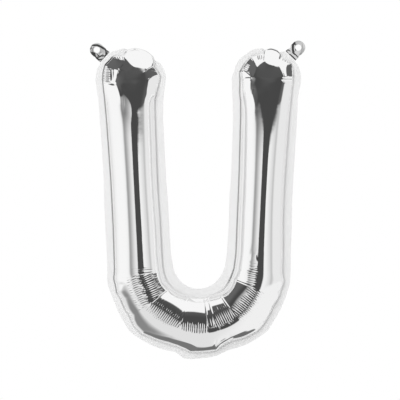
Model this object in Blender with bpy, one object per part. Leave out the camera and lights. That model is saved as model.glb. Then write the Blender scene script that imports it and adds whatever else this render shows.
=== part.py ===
"""Foil letter balloon, the letter U: air filled, with two hanging tabs and a valve tail.

Metres, +Z up, and the letter is read from the -Y side. The origin lies half way between the two
eyelets, on the line that carries the balloon. The front and back film panels are thin shells
that meet on the plane Y = 0, where the welded margin runs round the whole letter.
"""

import math
from typing import NamedTuple

import bmesh
import bpy
import numpy as np

MM = 0.001

# The letter's centreline in the XZ plane: two limbs that lean outwards, and a round bend.
BEND_CENTRE_Z = -246.2 * MM
BEND_RADIUS = 67.7 * MM
LIMB_LEAN = math.radians(2.85)
LIMB_LENGTH = 214.2 * MM
BOTTOM_ALONG = LIMB_LENGTH + BEND_RADIUS * (math.pi / 2 - LIMB_LEAN)

# The inflated tube and its welded margin, in millimetres.
# along: run of the centreline from the cap's centre. seam: centreline to seam line.
# inner, outer: centreline to the margin's cut edge, inside and outside the letter.
# depth: seam plane to crest.
SECTIONS = (
    # along, seam, inner, outer, depth
    (0.0, 31.4, 38.9, 39.8, 20.4),
    (11.0, 30.4, 38.2, 39.0, 23.2),
    (23.0, 28.4, 36.9, 37.6, 25.0),
    (45.0, 26.6, 35.9, 36.3, 26.2),
    (130.0, 26.2, 36.4, 36.4, 26.2),
    (180.0, 26.3, 36.6, 36.4, 26.0),
    (214.2, 27.5, 38.0, 37.4, 25.6),
    (240.0, 29.8, 39.6, 38.0, 24.6),
    (265.0, 31.0, 40.4, 38.1, 24.0),
    (317.3, 31.0, 40.4, 38.1, 24.0),
)
BEND_STEPS = 14

# The tube shortens as it fills, so the outer margin of the bend buckles into lobes.
# angle: from straight down about the bend's centre, negative to the left, in degrees.
# out: how far the cut edge stands out there, in millimetres.
LOBES = (
    # angle, out
    (-87.0, 0.0),
    (-56.0, 0.3),
    (-45.0, 3.2),
    (-30.0, -0.4),
    (-16.0, -3.4),
    (-8.0, 1.9),
    (3.0, 0.3),
    (18.5, -3.4),
    (30.0, -0.2),
    (44.0, 3.0),
    (57.0, 0.6),
    (87.0, 0.0),
)

# The limb's rounded cap, from the cap's centre, at the top of the limb.
CAP_SEAM = 33.5 * MM
CAP_EDGE = 37.6 * MM
CAP_FLARE = 1.2
CAP_CROWN = 0.7

# Film thicknesses are far over the real 0.05 mm, so that each film is a sound solid.
WALL = 1.0 * MM
WELD = 0.6 * MM
GAP = 0.3 * MM
LAP = 0.5 * MM
PANEL_ROWS = 7

# Hanging tabs: a tongue on a straight facet of the cap's edge, with a punched eyelet.
# side: -1 left, +1 right. lean: from straight up, outwards. reach: cap's centre to eyelet.
TABS = (
    # name, side, lean in degrees, reach in millimetres
    ("hanging_tab_left", -1, 47.4, 50.7),
    ("hanging_tab_right", 1, 43.9, 51.1),
)
TAB_FACET = 37.6 * MM
TAB_FACET_ANGLE = math.radians(13.7)
TAB_HALF_WIDTH = 7.9 * MM
EYELET_RADIUS = 3.5 * MM
EYELET_STEPS = 24

# A crease that folds: its axis stands this far off what carries it and off its own film.
CREASE_TO_CARRIER = 0.5 * MM
CREASE_TO_FILM = 0.1 * MM

# The valve's flat tail, folded back under the bend where the two films part.
TAIL_WIDTH = 22.0 * MM
TAIL_LENGTH = 19.0 * MM
TAIL_CORNER = 4.0 * MM
TAIL_ABOVE_EDGE = 1.9 * MM
CORNER_STEPS = 4


class Loop(NamedTuple):
    """The letter's outline as one closed run of stations, each looking out from the centreline.

    centre and out are (x, z) rows: the point on the centreline and the unit direction to the edge.
    crest is 0 where the station looks across the tube and 1 where it looks along it, over the cap.
    """

    centre: np.ndarray
    out: np.ndarray
    seam: np.ndarray
    edge: np.ndarray
    depth: np.ndarray
    crest: np.ndarray


def clear_scene():
    for item in list(bpy.data.objects):
        bpy.data.objects.remove(item, do_unlink=True)


def film_material(name, colour, roughness):
    """A metallised film finish."""
    material = bpy.data.materials.new(name)
    material.use_nodes = True
    shader = material.node_tree.nodes["Principled BSDF"]
    shader.inputs["Base Color"].default_value = (*colour, 1.0)
    shader.inputs["Metallic"].default_value = 1.0
    shader.inputs["Roughness"].default_value = roughness
    return material


def centreline(along):
    """Points and outward directions, as (u, z) rows, u being the distance from the letter's middle."""
    turned = np.maximum(along - LIMB_LENGTH, 0.0) / BEND_RADIUS
    angle = LIMB_LEAN + turned
    out = np.stack([np.cos(angle), -np.sin(angle)], axis=-1)
    climb = np.maximum(LIMB_LENGTH - along, 0.0)[:, None] * np.array(limb_up())
    return np.array([0.0, BEND_CENTRE_Z]) + BEND_RADIUS * out + climb, out


def limb_up():
    return math.sin(LIMB_LEAN), math.cos(LIMB_LEAN)


def cap_centre():
    """The cap's centre as (u, z)."""
    point, _ = centreline(np.zeros(1))
    return point[0]


def stations():
    """Distances along the centreline, from the bottom of the bend up to the cap's centre."""
    limb = [row[0] * MM for row in SECTIONS if row[0] * MM < LIMB_LENGTH]
    bend = np.linspace(LIMB_LENGTH, BOTTOM_ALONG, BEND_STEPS + 1)
    return np.concatenate([limb, bend])[::-1]


def section(along, column):
    """A column of SECTIONS, read at each distance along the centreline."""
    table = np.array(SECTIONS) * MM
    return np.interp(along, table[:, 0], table[:, column])


def lobes(along, side):
    """How far the outer cut edge stands out at each station of one half of the letter."""
    down = math.pi / 2 - LIMB_LEAN - (along - LIMB_LENGTH) / BEND_RADIUS
    angle, out = np.array(LOBES).T
    return np.interp(np.degrees(side * down), angle, out * MM, left=0.0, right=0.0)


def cap_fan(lean, outer_edge, inner_edge):
    """Directions, seam, edge and crest round the cap, from the limb's outer side to its inner side.

    The steps are counted from the tab's direction, so that the facet under the tab ends on two of
    them. Along the facet the edge is a straight chord instead of an arc.
    """
    tab_angle = math.pi / 2 - math.radians(lean) + LIMB_LEAN
    steps = tab_angle + TAB_FACET_ANGLE * np.arange(-6, 13)
    steps = steps[(steps > 0.3 * TAB_FACET_ANGLE) & (steps < math.pi - 0.3 * TAB_FACET_ANGLE)]
    up_x, up_z = limb_up()
    out = np.stack(
        [
            up_z * np.cos(steps) + up_x * np.sin(steps),
            -up_x * np.cos(steps) + up_z * np.sin(steps),
        ],
        axis=-1,
    )
    side_edge = np.where(steps < math.pi / 2, outer_edge, inner_edge)
    edge = CAP_EDGE + (side_edge - CAP_EDGE) * np.cos(steps) ** 2
    off_tab = np.cos(steps - tab_angle)
    edge = np.where(off_tab > 0.5, np.minimum(edge, TAB_FACET / np.maximum(off_tab, 0.5)), edge)
    side_seam = section(np.zeros(1), 1)
    seam = CAP_SEAM + (side_seam - CAP_SEAM) * np.cos(steps) ** 2
    return out, seam, edge, np.sin(steps) ** 2


def half_loop(side, lean):
    """Stations of one half of the letter: outer side upwards, round the cap, inner side downwards."""
    along = stations()
    centre, out = centreline(along)
    seam, inner, outer, depth = (section(along, column) for column in (1, 2, 3, 4))
    outer = outer + lobes(along, side)
    fan_out, fan_seam, fan_edge, fan_crest = cap_fan(lean, outer[-1], inner[-1])
    fan_count = len(fan_out)
    level = np.zeros(len(along))
    parts = Loop(
        centre=np.concatenate([centre, np.tile(centre[-1], (fan_count, 1)), centre[::-1]]),
        out=np.concatenate([out, fan_out, -out[::-1]]),
        seam=np.concatenate([seam, fan_seam, seam[::-1]]),
        edge=np.concatenate([outer, fan_edge, inner[::-1]]),
        depth=np.concatenate([depth, np.full(fan_count, depth[-1]), depth[::-1]]),
        crest=np.concatenate([level, fan_crest, level]),
    )
    turned = np.array([side, 1.0])
    return parts._replace(centre=parts.centre * turned, out=parts.out * turned)


def letter_loop():
    """The whole outline: the left half from the bottom, then the right half back to it."""
    (_, _, left_lean, _), (_, _, right_lean, _) = TABS
    left = half_loop(-1, left_lean)
    right = half_loop(1, right_lean)
    return Loop(*(np.concatenate([a, b[-2:0:-1]]) for a, b in zip(left, right)))


def grid_faces(around, across, closed_across):
    """Quads of a grid that closes round its first index, and round its second if asked."""
    i = np.arange(around)[:, None]
    j = np.arange(across if closed_across else across - 1)[None, :]
    ahead, beside = (i + 1) % around, (j + 1) % across
    corners = (i * across + j, ahead * across + j, ahead * across + beside, i * across + beside)
    return np.stack(corners, axis=-1).reshape(-1, 4)


def make_object(name, points, faces, material):
    """A closed smooth-shaded mesh object with its doubles merged and its faces turned outwards."""
    mesh = bpy.data.meshes.new(name)
    mesh.from_pydata([tuple(p) for p in points], [], [tuple(f) for f in faces])
    shell = bmesh.new()
    shell.from_mesh(mesh)
    bmesh.ops.remove_doubles(shell, verts=shell.verts, dist=1e-6)
    bmesh.ops.recalc_face_normals(shell, faces=shell.faces)
    shell.to_mesh(mesh)
    shell.free()
    mesh.shade_smooth()
    mesh.set_sharp_from_angle(angle=math.radians(40))
    mesh.materials.append(material)
    made = bpy.data.objects.new(name, mesh)
    bpy.context.scene.collection.objects.link(made)
    return made


def film_panel(name, side, loop, material):
    """One film panel: a shell that domes from the seam to the spine.

    At a share t of the way from spine to seam, the film stands off the seam plane by the depth
    times sqrt(1 - t^2) across the tube, and times (1 - t^flare)^crown along a cap's crest.
    """
    t = np.cos(np.linspace(0.0, math.pi / 2, PANEL_ROWS + 1))
    t[-1] = 0.0
    across_tube = np.sqrt(1 - t * t)
    along_crest = (1 - t**CAP_FLARE) ** CAP_CROWN
    crown = across_tube + loop.crest[:, None] * (along_crest - across_tube)
    skins = []
    for inset in (0.0, WALL):
        reach = t * (loop.seam - inset)[:, None]
        rise = WELD / 2 + GAP + crown * (loop.depth - inset)[:, None]
        flat = loop.centre[:, None] + reach[..., None] * loop.out[:, None]
        skins.append(np.stack([flat[..., 0], side * rise, flat[..., 1]], axis=-1))
    around, across = skins[0].shape[:2]
    points = np.concatenate([skin.reshape(-1, 3) for skin in skins])
    skin_faces = grid_faces(around, across, False)
    rim = np.arange(around) * across
    rim_ahead = np.roll(rim, -1)
    inner = around * across
    rim_faces = np.stack([rim, rim + inner, rim_ahead + inner, rim_ahead], axis=-1)
    faces = np.concatenate([skin_faces, skin_faces + inner, rim_faces])
    return make_object(name, points, faces, material)


def ring_plate(name, inside, outside, half_thickness, material):
    """A flat plate between two closed runs of (x, z) points, half_thickness each side of Y = 0."""
    runs = ((inside, -1), (outside, -1), (outside, 1), (inside, 1))
    layers = [
        np.stack([run[:, 0], np.full(len(run), sign * half_thickness), run[:, 1]], axis=-1)
        for run, sign in runs
    ]
    points = np.stack(layers, axis=1)
    faces = grid_faces(len(inside), len(runs), True)
    return make_object(name, points.reshape(-1, 3), faces, material)


def seam_margin(loop, material):
    """The band where both films are welded, from just inside the seam to the cut edge."""
    inside = loop.centre + (loop.seam - WALL - LAP)[:, None] * loop.out
    outside = loop.centre + loop.edge[:, None] * loop.out
    return ring_plate("seam_margin", inside, outside, WELD / 2, material)


def hanging_tab(name, side, lean, reach, material):
    """A tongue of welded film with a round end about its eyelet.

    The mesh has its origin on the crease and +X along the tongue, and the object is turned
    about Y to stand on the cap's facet.
    """
    crease = TAB_FACET + CREASE_TO_CARRIER
    eye = reach - crease
    root = eye - CREASE_TO_FILM
    corner = math.atan2(TAB_HALF_WIDTH, -root)
    turns = np.linspace(-math.pi, math.pi, EYELET_STEPS, endpoint=False)
    turns = np.sort(np.append(turns, (-corner, corner)))
    way = np.stack([np.cos(turns), np.sin(turns)], axis=-1)
    to_side = TAB_HALF_WIDTH / np.maximum(np.abs(way[:, 1]), 1e-9)
    to_root = root / np.maximum(-way[:, 0], 1e-9)
    to_edge = np.where(way[:, 0] > -1e-9, TAB_HALF_WIDTH, np.minimum(to_side, to_root))
    middle = np.array([eye, 0.0])
    inside = middle + EYELET_RADIUS * way
    outside = middle + to_edge[:, None] * way
    tab = ring_plate(name, inside, outside, WELD / 2, material)
    u, z = cap_centre() + crease * np.array([math.sin(lean), math.cos(lean)])
    tab.location = (side * u, 0.0, z)
    tab.rotation_euler = (0.0, side * lean - math.pi / 2, 0.0)
    return tab


def tail_outline():
    """Half turns of the tail's outline, from its root on one side round to the other."""
    turns = np.linspace(0.0, math.pi / 2, CORNER_STEPS + 1)
    across = TAIL_WIDTH / 2 - TAIL_CORNER + TAIL_CORNER * np.cos(turns)
    out = TAIL_LENGTH - TAIL_CORNER + TAIL_CORNER * np.sin(turns)
    x = np.concatenate([[TAIL_WIDTH / 2], across, -across[::-1], [-TAIL_WIDTH / 2]])
    y = np.concatenate([[CREASE_TO_FILM], out, out[::-1], [CREASE_TO_FILM]])
    return x, y


def valve_tail(material):
    """The valve's flat tongue, which stands back from the margin at the bottom of the bend."""
    x, y = tail_outline()
    count = len(x)
    layers = [np.stack([x, y, np.full(count, z)], axis=-1) for z in (-WELD / 2, WELD / 2)]
    edge = np.arange(count)
    ahead = np.roll(edge, -1)
    walls = np.stack([edge, ahead, ahead + count, edge + count], axis=-1)
    faces = [tuple(edge), tuple(edge + count), *map(tuple, walls)]
    tail = make_object("valve_tail", np.concatenate(layers), faces, material)
    bottom = BEND_CENTRE_Z - BEND_RADIUS - section(np.array([BOTTOM_ALONG]), 3)[0]
    tail.location = (0.0, WELD / 2 + CREASE_TO_CARRIER, bottom + TAIL_ABOVE_EDGE)
    return tail


def build():
    clear_scene()
    mirror_film = film_material("mirror_film", (0.86, 0.86, 0.87), 0.06)
    welded_film = film_material("welded_film", (0.80, 0.80, 0.81), 0.32)
    valve_film = film_material("valve_film", (0.74, 0.74, 0.76), 0.25)
    loop = letter_loop()
    film_panel("front_panel", -1, loop, mirror_film)
    film_panel("back_panel", 1, loop, mirror_film)
    seam_margin(loop, welded_film)
    for name, side, lean, reach in TABS:
        hanging_tab(name, side, math.radians(lean), reach * MM, welded_film)
    valve_tail(valve_film)


build()
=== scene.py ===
"""Foil letter balloon, the letter U, finished for its photograph. Metres, +Z up, read from the -Y side."""

import math

import bmesh
import bpy
import numpy as np
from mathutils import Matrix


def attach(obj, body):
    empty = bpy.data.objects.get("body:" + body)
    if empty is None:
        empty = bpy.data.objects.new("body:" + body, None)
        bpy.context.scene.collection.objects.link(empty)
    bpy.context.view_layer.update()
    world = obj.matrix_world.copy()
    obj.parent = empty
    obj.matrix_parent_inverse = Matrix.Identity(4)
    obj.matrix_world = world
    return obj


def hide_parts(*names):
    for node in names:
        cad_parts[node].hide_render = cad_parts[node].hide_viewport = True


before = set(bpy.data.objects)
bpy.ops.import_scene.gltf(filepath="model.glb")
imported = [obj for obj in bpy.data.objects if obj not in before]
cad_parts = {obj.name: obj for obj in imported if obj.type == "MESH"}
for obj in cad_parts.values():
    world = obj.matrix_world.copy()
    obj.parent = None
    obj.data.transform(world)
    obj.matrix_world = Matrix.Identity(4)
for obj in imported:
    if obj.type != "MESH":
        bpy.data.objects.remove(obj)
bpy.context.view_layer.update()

# The camera. The letter was photographed square on through a long lens, level with its middle,
# so that its limbs show no perspective and their reflections run parallel.
MM = 0.001
CAMERA_RANGE = 4.0
VIEW_WIDTH = 0.4552
VIEW_MIDDLE = (0.0018, -0.1722)

camera = bpy.data.objects.new("camera", bpy.data.cameras.new("camera"))
camera.data.sensor_width = 36.0
camera.data.lens = camera.data.sensor_width * CAMERA_RANGE / VIEW_WIDTH
camera.data.clip_end = 60.0
camera.location = (VIEW_MIDDLE[0], -CAMERA_RANGE, VIEW_MIDDLE[1])
camera.rotation_euler = (math.pi / 2, 0.0, 0.0)
bpy.context.scene.collection.objects.link(camera)
bpy.context.scene.camera = camera
bpy.context.scene.view_settings.view_transform = "Standard"

# The studio: a white tent of soft panels with a dark ceiling, open where the camera looks in.
# A mirror shows its room, so the panels' tones and heights are what shapes the foil.
# azimuth: from the camera's side, positive to the right, in degrees. tone: the panel's light.
# height: the sine of the elevation at which the panel ends and the ceiling begins.
# fade: how fast the panel darkens above FADE_START, FADE_MOST at most.
PANELS = (
    # azimuth, tone, height, fade
    (-160, 0.60, 0.46, 0),
    (-154, 0.74, 1.00, 0),
    (-126, 0.82, 1.00, 0),
    (-118, 0.92, 0.60, 0),
    (-96, 0.99, 0.42, 0),
    (-72, 0.99, 0.38, 0),
    (-60, 0.99, 0.36, 0),
    (-52, 0.97, 0.28, 0),
    (-44, 0.93, 0.20, 0.5),
    (-39.5, 0.62, 0.20, 1.5),
    (-36, 0.36, 0.22, 2.2),
    (-33, 0.37, 0.24, 2.4),
    (-28, 0.47, 0.25, 2.6),
    (-20, 0.68, 0.25, 2.8),
    (-12, 0.84, 0.20, 2.8),
    (-5, 0.86, 0.14, 2.8),
    (-1, 0.067, -0.26, 0),
    (19, 0.067, -0.26, 0),
    (24, 0.95, 0.05, 2.4),
    (34, 0.90, 0.10, 2.4),
    (50, 0.74, 0.10, 2),
    (56, 0.58, 0.11, 1.5),
    (60, 0.62, 0.12, 1),
    (66, 0.85, 0.17, 0),
    (74, 0.86, 0.32, 0),
    (112, 0.86, 0.42, 0),
    (122, 0.82, 1.00, 0),
    (162, 0.74, 1.00, 0),
    (168, 0.60, 0.46, 0),
)
PANEL_FOOT = -0.25
FADE_START = 0.05
FADE_MOST = 4.0
PANEL_BLUR = (-0.03, 0.05)
FOOT_BLUR = (-0.03, 0.02)
CEILING_TONE = 0.067
CEILING_HIGH_TONE = 0.10
CEILING_SIDE_TONE = 0.13
CEILING_HEIGHTS = (0.35, 0.65)
CEILING_LEFT = (0.50, 0.72)
CEILING_RIGHT = (0.62, 0.92)
# The softbox overhead. Each pair holds where its edge starts to blur and where the blur ends, and
# its front edge is the curve y = bow * (x - middle)^2 - reach.
SOFTBOX_TONE = 0.99
SOFTBOX_LEFT = (-0.62, -0.52)
SOFTBOX_RIGHT = (0.74, 0.80)
SOFTBOX_FOOT = (0.40, 0.48)
SOFTBOX_FRONT = (-0.03, 0.03)
SOFTBOX_MIDDLE = 0.2
SOFTBOX_BOW = 0.8
SOFTBOX_REACH = 0.75
FLOOR_TONE = 0.80
FLOOR_RIGHT_TONE = 0.93
FLOOR_RIGHT = (0.1, 0.5)
# Dark things on the floor: the way to the middle of each, its tone, and how far it reaches,
# as the cosines of the angles at which it starts and is full.
FLOOR_SHADES = (
    ((-0.20, 0.30, -0.933), 0.19, 0.90, 0.96),
    ((-0.72, -0.12, -0.684), 0.26, 0.84, 0.97),
    ((0.27, 0.28, -0.92), 0.16, 0.935, 0.965),
    ((0.15, -0.91, -0.38), 0.067, 0.982, 0.990),
)
BACKDROP_TONE = 1.0
FLOOR_Z = -1.3
FLOOR_SIZE = 7.0
LIGHT_PLACE = (-0.5, -2.6, 0.9)
LIGHT_TURN = (68.0, 0.0, -11.0)
LIGHT_SIZE = 2.4
LIGHT_POWER = 46.0


def feed(tree, socket, value):
    """Links a socket, or sets a constant."""
    if isinstance(value, bpy.types.NodeSocket):
        tree.links.new(value, socket)
    else:
        socket.default_value = value


def reckon(tree, operation, *values):
    """A Math node over sockets or constants, giving its output."""
    node = tree.nodes.new("ShaderNodeMath")
    node.operation = operation
    for socket, value in zip(node.inputs, values):
        feed(tree, socket, value)
    return node.outputs[0]


def step(tree, value, low, high):
    """A Map Range node that rises smoothly from 0 at low to 1 at high."""
    node = tree.nodes.new("ShaderNodeMapRange")
    node.interpolation_type = "SMOOTHSTEP"
    feed(tree, node.inputs["Value"], value)
    feed(tree, node.inputs["From Min"], low)
    feed(tree, node.inputs["From Max"], high)
    return node.outputs[0]


def blend_tones(tree, share, low, high):
    """low where share is 0, high where it is 1."""
    node = tree.nodes.new("ShaderNodeMix")
    feed(tree, node.inputs["Factor"], share)
    feed(tree, node.inputs["A"], low)
    feed(tree, node.inputs["B"], high)
    return node.outputs["Result"]


def ramp(tree, position, stops):
    """A Color Ramp through (position, value) stops, giving its value."""
    node = tree.nodes.new("ShaderNodeValToRGB")
    elements = node.color_ramp.elements
    for index, (place, value) in enumerate(stops):
        element = elements[index] if index < 2 else elements.new(place)
        element.position = place
        element.color = (value, value, value, 1.0)
    feed(tree, node.inputs["Fac"], position)
    return node.outputs["Color"]


def studio_world():
    """The tent's light as a function of direction: panels by azimuth, floor below, ceiling above."""
    world = bpy.data.worlds.new("studio")
    world.use_nodes = True
    tree = world.node_tree
    way = tree.nodes.new("ShaderNodeTexCoord").outputs["Generated"]
    split = tree.nodes.new("ShaderNodeSeparateXYZ")
    tree.links.new(way, split.inputs[0])
    x, y, z = split.outputs
    azimuth = reckon(tree, "ARCTAN2", x, reckon(tree, "MULTIPLY", y, -1.0))
    turn = reckon(tree, "MULTIPLY_ADD", azimuth, 0.5 / math.pi, 0.5)
    tone = ramp(tree, turn, [(row[0] / 360 + 0.5, row[1]) for row in PANELS])
    top = ramp(tree, turn, [(row[0] / 360 + 0.5, (row[2] + 1) / 2) for row in PANELS])
    fade = ramp(tree, turn, [(row[0] / 360 + 0.5, row[3] / FADE_MOST) for row in PANELS])
    top = reckon(tree, "MULTIPLY_ADD", top, 2.0, -1.0)
    above = reckon(tree, "SUBTRACT", z, top)
    climbed = reckon(tree, "MAXIMUM", reckon(tree, "SUBTRACT", z, FADE_START), 0.0)
    fallen = reckon(tree, "MULTIPLY", climbed, reckon(tree, "MULTIPLY", fade, -FADE_MOST))
    tone = reckon(tree, "MULTIPLY", tone, reckon(tree, "ADD", fallen, 1.0))

    off_middle = reckon(tree, "POWER", reckon(tree, "SUBTRACT", x, SOFTBOX_MIDDLE), 2.0)
    behind = reckon(tree, "MULTIPLY_ADD", off_middle, -SOFTBOX_BOW, reckon(tree, "ADD", y, SOFTBOX_REACH))
    softbox = reckon(tree, "SUBTRACT", 1.0, step(tree, x, *SOFTBOX_RIGHT))
    for value, bounds in ((behind, SOFTBOX_FRONT), (x, SOFTBOX_LEFT), (z, SOFTBOX_FOOT)):
        softbox = reckon(tree, "MULTIPLY", softbox, step(tree, value, *bounds))
    to_left = step(tree, reckon(tree, "MULTIPLY", x, -1.0), *CEILING_LEFT)
    to_side = reckon(tree, "MAXIMUM", to_left, step(tree, x, *CEILING_RIGHT))
    ceiling = blend_tones(tree, step(tree, z, *CEILING_HEIGHTS), CEILING_TONE, CEILING_HIGH_TONE)
    ceiling = blend_tones(tree, to_side, ceiling, CEILING_SIDE_TONE)
    ceiling = blend_tones(tree, softbox, ceiling, SOFTBOX_TONE)
    room = blend_tones(tree, step(tree, above, *PANEL_BLUR), tone, ceiling)

    ground = blend_tones(tree, step(tree, x, *FLOOR_RIGHT), FLOOR_TONE, FLOOR_RIGHT_TONE)
    for middle, dark, start, full in FLOOR_SHADES:
        shade = tree.nodes.new("ShaderNodeVectorMath")
        shade.operation = "DOT_PRODUCT"
        tree.links.new(way, shade.inputs[0])
        shade.inputs[1].default_value = middle
        ground = blend_tones(tree, step(tree, shade.outputs["Value"], start, full), ground, dark)
    from_foot = reckon(tree, "SUBTRACT", z, PANEL_FOOT)
    room = blend_tones(tree, step(tree, from_foot, *FOOT_BLUR), ground, room)

    seen = tree.nodes.new("ShaderNodeLightPath").outputs["Is Camera Ray"]
    light = blend_tones(tree, seen, room, BACKDROP_TONE)
    background = tree.nodes["Background"]
    background.inputs["Strength"].default_value = 1.0
    tree.links.new(light, background.inputs["Color"])
    return world


def plain_finish(name, tone, roughness, metallic=0.0):
    """A grey material with one Principled shader, and that shader."""
    material = bpy.data.materials.new(name)
    material.use_nodes = True
    shader = material.node_tree.nodes["Principled BSDF"]
    shader.inputs["Base Color"].default_value = (tone, tone, tone, 1.0)
    shader.inputs["Roughness"].default_value = roughness
    shader.inputs["Metallic"].default_value = metallic
    return material, shader


bpy.context.scene.world = studio_world()

floor_mesh = bpy.data.meshes.new("floor")
floor_corners = [
    (x * FLOOR_SIZE / 2, y * FLOOR_SIZE / 2, FLOOR_Z) for x, y in ((-1, -1), (1, -1), (1, 1), (-1, 1))
]
floor_mesh.from_pydata(floor_corners, [], [(0, 1, 2, 3)])
floor_finish, _ = plain_finish("studio_floor", 0.93, 0.8)
floor_mesh.materials.append(floor_finish)
floor = bpy.data.objects.new("floor", floor_mesh)
floor.visible_glossy = False
bpy.context.scene.collection.objects.link(floor)

front_light = bpy.data.objects.new("front_light", bpy.data.lights.new("front_light", "AREA"))
front_light.data.shape = "DISK"
front_light.data.size = LIGHT_SIZE
front_light.data.energy = LIGHT_POWER
front_light.location = LIGHT_PLACE
front_light.rotation_euler = [math.radians(turn) for turn in LIGHT_TURN]
front_light.visible_glossy = False
bpy.context.scene.collection.objects.link(front_light)

# The envelope's outline. Two letters are cut from one sheet of metallised film and welded round
# the edge, and the tube draws the seam in as it fills, so seam and cut edge both wander.
BEND_CENTRE = np.array([0.0, -246.2]) * MM
BEND_RADIUS = 67.7 * MM
LIMB_LEAN = math.radians(2.85)
LIMB_LENGTH = 214.2 * MM
BEND_TURN = math.pi / 2 - LIMB_LEAN

# along: down the centreline from the cap's centre, and above it where negative.
# The other columns are the film's height over the seam plane at the round of the tube.
DEPTHS = (
    # along, left limb, right limb
    (-42, 16.2, 13.8),
    (-30, 17.2, 14.6),
    (-20, 18.4, 15.6),
    (-10, 19.8, 16.8),
    (0, 21.5, 18.3),
    (10, 23.3, 20.1),
    (17, 24.4, 21.2),
    (24, 25.2, 22.3),
    (32, 25.6, 23.1),
    (45, 25.85, 24.2),
    (60, 26, 25.1),
    (80, 26.15, 25.8),
    (100, 26.2, 26.1),
    (130, 26.2, 26.2),
    (180, 26, 26),
    (214.2, 25.4, 25.4),
    (240, 24.5, 24.5),
    (265, 24, 24),
)

# Distances from the centreline to the seam and to the cut edge, along the limbs.
LIMBS = (
    # along, left outer seam, edge, left inner seam, edge, right outer seam, edge, right inner seam, edge
    (0, 30.2, 38.8, 35, 41.4, 29.5, 38.6, 30.5, 40.4),
    (8, 29.8, 38, 32.3, 40, 29, 37.5, 30.2, 39.8),
    (17, 29.2, 36.9, 29.6, 38.3, 28.5, 36, 30, 39.2),
    (25, 28.8, 36.6, 27.2, 37.2, 28, 36, 28.5, 38.2),
    (45, 28, 36, 26.6, 35.8, 27, 36.1, 27.5, 36.6),
    (114, 26.5, 35, 25.7, 35.9, 25.6, 35.3, 26, 35.6),
    (137, 26.5, 35.9, 25.9, 36.8, 25.6, 35.2, 25.8, 36.3),
    (166, 26.5, 36, 26.6, 36.8, 26.3, 36.2, 25.6, 35.5),
    (200, 27.1, 35.7, 26.5, 37.2, 28, 36.8, 25.2, 36),
    (214.2, 27.5, 36.4, 27, 38.8, 28.3, 37.5, 26.5, 37.5),
)
LIMB_COLUMNS = {(-1, "outer"): (1, 2), (-1, "inner"): (3, 4), (1, "outer"): (5, 6), (1, "inner"): (7, 8)}

# angle: about the bend's centre from straight down, negative to the left, in degrees.
BEND_OUTER = (
    # angle, seam, edge
    (-88, 27.7, 36.6),
    (-82.6, 29.6, 37.4),
    (-76, 29, 37.7),
    (-71.3, 30, 36.8),
    (-66.3, 28.5, 36.8),
    (-58.4, 29.6, 38),
    (-53.2, 29.6, 38.9),
    (-50, 31.6, 39.7),
    (-46.2, 33, 41),
    (-39.6, 33.7, 39.6),
    (-34.9, 31.8, 38.6),
    (-29.8, 30.4, 37.8),
    (-21.5, 28.2, 36),
    (-15.1, 28.2, 34.7),
    (-12, 29, 36.6),
    (-9.2, 29.6, 39.8),
    (-5.1, 31.8, 39.6),
    (3.7, 31.9, 38.3),
    (10.6, 31.9, 37.6),
    (12.4, 31.9, 37.2),
    (16, 28.8, 35.6),
    (19, 27.6, 34.8),
    (23.8, 27, 35.8),
    (32.2, 30.4, 37.9),
    (42.1, 33.3, 39.8),
    (46, 33, 41),
    (54, 31.4, 39),
    (61.3, 29.6, 38.4),
    (68.8, 31.2, 38),
    (72.7, 30.6, 38.1),
    (79.8, 31.8, 38.2),
    (84, 29.8, 37.9),
    (88, 28.6, 37.6),
)
BEND_INNER = (
    # angle, seam, edge
    (-88, 27, 38.8),
    (-81, 27.2, 39.2),
    (-64, 27.4, 40),
    (-49.6, 28.4, 40.4),
    (-30, 30.6, 40.6),
    (0, 31.4, 40.7),
    (25, 30.4, 40.5),
    (43.7, 27.6, 40.3),
    (68, 28, 39.4),
    (81, 27.2, 38.4),
    (88, 26.5, 37.5),
)

# angle: about the cap's centre from straight up, negative to the left, in degrees.
# tuck: how far the margin is folded back behind the film there, 0 flat and 1 straight back.
CAPS = {
    -1: (
        # angle, seam, edge, tuck
        (-85.7, 30.2, 38.8, 0),
        (-73, 30.9, 38.8, 0),
        (-64.1, 31.5, 38.3, 0),
        (-59.3, 32.1, 38, 0),
        (-46.3, 31.3, 37.6, 0),
        (-33.3, 32.4, 38, 0),
        (-27, 31, 37, 0),
        (-17.7, 29.1, 36.6, 0),
        (-11, 31.8, 36.4, 0.1),
        (-3, 34.6, 36.8, 0.8),
        (9.4, 36.9, 38, 1),
        (30, 38, 38.9, 1),
        (46, 37.9, 38.9, 1),
        (54, 35.6, 38.4, 0.6),
        (61.4, 31.8, 39.7, 0),
        (70, 33, 40.6, 0),
        (80.2, 34.6, 41.2, 0),
        (87.5, 35, 41.4, 0),
    ),
    1: (
        # angle, seam, edge, tuck
        (-87.5, 30.5, 40.4, 0),
        (-80, 31.2, 39.6, 0),
        (-73.3, 31.9, 38.7, 0),
        (-66.2, 31.1, 39.4, 0),
        (-52, 31.4, 39.2, 0),
        (-38.7, 32.3, 37.9, 0),
        (-24, 31.4, 38.1, 0),
        (-9, 31.1, 36.2, 0),
        (-4, 34.4, 36.6, 0.8),
        (6.6, 36.6, 37.4, 1),
        (19.3, 35.8, 36.9, 1),
        (27, 33.6, 37.2, 0.5),
        (31, 31.2, 38, 0),
        (44, 31.4, 37.6, 0),
        (56.4, 33.6, 38.2, 0),
        (68.8, 31.5, 38.8, 0),
        (85.6, 29.6, 38.8, 0),
        (93, 29.5, 38.6, 0),
    ),
}

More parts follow.
